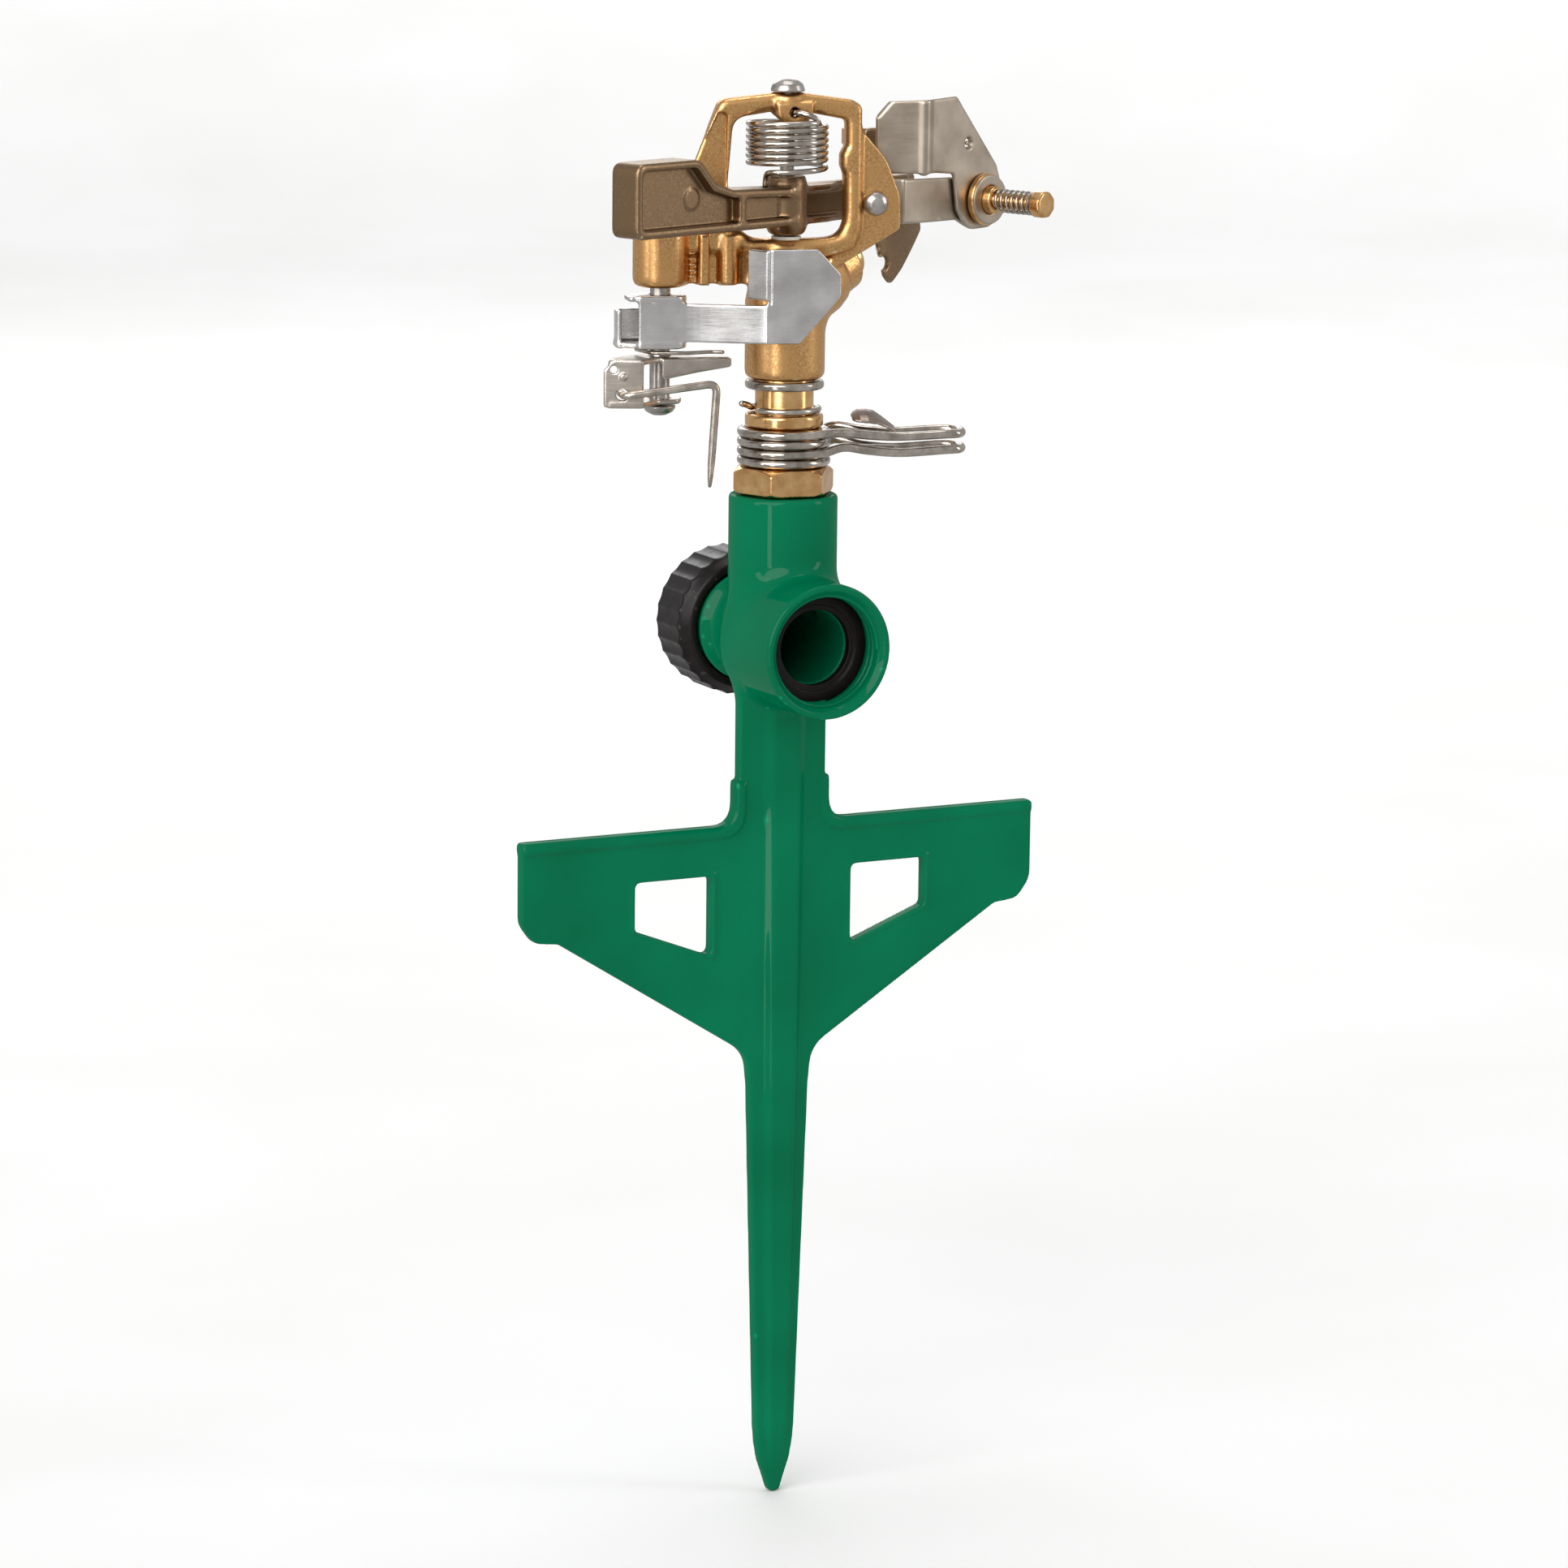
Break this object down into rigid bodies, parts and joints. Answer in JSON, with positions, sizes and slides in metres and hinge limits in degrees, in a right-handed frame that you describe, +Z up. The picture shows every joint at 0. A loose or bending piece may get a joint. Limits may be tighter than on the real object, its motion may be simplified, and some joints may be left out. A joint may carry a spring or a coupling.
{
  "type": "impact sprinkler on a step spike",
  "caption": "Impact lawn sprinkler: brass head with sprung arm, reversing trip and deflector, turning on a flow-through green ground spike with foot steps.",
  "frame": {"origin": "on the head's turning axis, level with the tops of the two foot steps, which is where the soil comes to", "axes": "+Z up along the spike and the head's turning axis, X along the foot steps, the hose inlet opens towards -Y and the capped outlet towards +Y"},
  "size_m": [0.1396, 0.06, 0.3526],
  "materials": {
    "enamel": "glossy green enamel over die-cast zinc",
    "cast_brass": "as cast, lightly tumbled, satin",
    "turned_brass": "machined, bright",
    "bronze": "as cast, brown, satin",
    "stainless_sheet": "rolled stainless sheet, satin",
    "steel": "turned steel, bright",
    "spring_steel": "drawn stainless wire, bright",
    "black_plastic": "moulded, semi-matt black",
    "black_rubber": "moulded rubber, matt",
    "nylon": "natural nylon washer"
  },
  "bodies": {
    "base": {"spike_base": "enamel", "inlet_washer": "black_rubber", "bearing_sleeve": "turned_brass", "seal_washer": "black_rubber"},
    "cap_seat": {"cap_washer": "black_rubber"},
    "cap": {"outlet_cap": "black_plastic"},
    "upper_stop": {"upper_collar": "spring_steel", "upper_collar_tab": "stainless_sheet"},
    "lower_stop": {"lower_collar": "spring_steel", "lower_collar_tab": "stainless_sheet"},
    "head": {"head_body": "cast_brass", "bearing_stem": "turned_brass", "thrust_washer": "nylon", "dust_washer": "steel", "retaining_ring": "spring_steel", "nozzle_tip": "turned_brass", "fulcrum_pin": "steel", "trip_shaft": "steel", "hub_washer": "nylon", "deflector_rivet": "steel"},
    "arm": {"arm": "bronze", "arm_spring": "spring_steel"},
    "trip": {"trip_bracket": "stainless_sheet", "toggle_spring": "spring_steel"},
    "lever": {"reversing_lever": "stainless_sheet"},
    "trip_wire": {"trip_wire": "spring_steel"},
    "deflector": {"deflector_strap": "stainless_sheet", "deflector_flag": "stainless_sheet", "diffuser_bush": "turned_brass", "diffuser_spring": "spring_steel"},
    "screw_seat": {"screw_washer": "steel"},
    "screw": {"diffuser_screw": "turned_brass"}
  },
  "joints": [
    {"name": "cap_travel", "type": "slide", "parent": "base", "child": "cap_seat", "axis": [0, 1, 0], "range_m": [0, 0.0101]},
    {"name": "cap_turn", "type": "hinge", "parent": "cap_seat", "child": "cap", "pos_m": [0, 0.025, 0.0461], "axis": [0, 1, 0], "range_deg": [0, 1636.4]},
    {"name": "lower_stop_turn", "type": "hinge", "parent": "base", "child": "lower_stop", "pos_m": [0, 0, 0.0906], "axis": [0, 0, 1], "range_deg": [-115, 150]},
    {"name": "upper_stop_turn", "type": "hinge", "parent": "base", "child": "upper_stop", "pos_m": [0, 0, 0.0952], "axis": [0, 0, 1], "range_deg": [-115, 150]},
    {"name": "head_turn", "type": "hinge", "parent": "base", "child": "head", "pos_m": [0, 0, 0.085], "axis": [0, 0, 1], "range_deg": [-190, 120]},
    {"name": "arm_swing", "type": "hinge", "parent": "head", "child": "arm", "pos_m": [0, 0, 0.151], "axis": [0, 0, 1], "range_deg": [0, 90], "stiffness_Nm_per_rad": 0.02, "springref_deg": -28.65, "deforming": ["arm_spring"]},
    {"name": "trip_turn", "type": "hinge", "parent": "head", "child": "trip", "pos_m": [-0.02942, 0.00843, 0.109], "axis": [0, 0, 1], "range_deg": [0, 24], "deforming": ["toggle_spring"]},
    {"name": "lever_turn", "type": "hinge", "parent": "head", "child": "lever", "pos_m": [-0.02942, 0.00843, 0.124], "axis": [0, 0, 1], "range_deg": [-12.5, 0.5]},
    {"name": "trip_wire_flip", "type": "hinge", "parent": "trip", "child": "trip_wire", "pos_m": [-0.04324, -0.00133, 0.107], "axis": [-0.2756, -0.9613, 0], "range_deg": [0, 110]},
    {"name": "deflector_tilt", "type": "hinge", "parent": "head", "child": "deflector", "pos_m": [0.02076, -0.00595, 0.1515], "axis": [0.2756, 0.9613, 0], "range_deg": [-10, 20]},
    {"name": "screw_travel", "type": "slide", "parent": "deflector", "child": "screw_seat", "axis": [-0.3584, 0.9336, 0], "range_m": [-0.001, 0.003], "deforming": ["diffuser_spring"]},
    {"name": "screw_turn", "type": "hinge", "parent": "screw_seat", "child": "screw", "pos_m": [0.05855, -0.00966, 0.1507], "axis": [-0.3584, 0.9336, 0], "range_deg": [-455, 1355]}
  ],
  "couplings": [
    {"joint": "cap_travel", "follows": "cap_turn", "m_per_rad": 0.00035014},
    {"joint": "screw_turn", "follows": "screw_travel", "rad_per_m": 7854},
    {"joint": "lever_turn", "follows": "trip_turn", "ratio": -0.5}
  ]
}
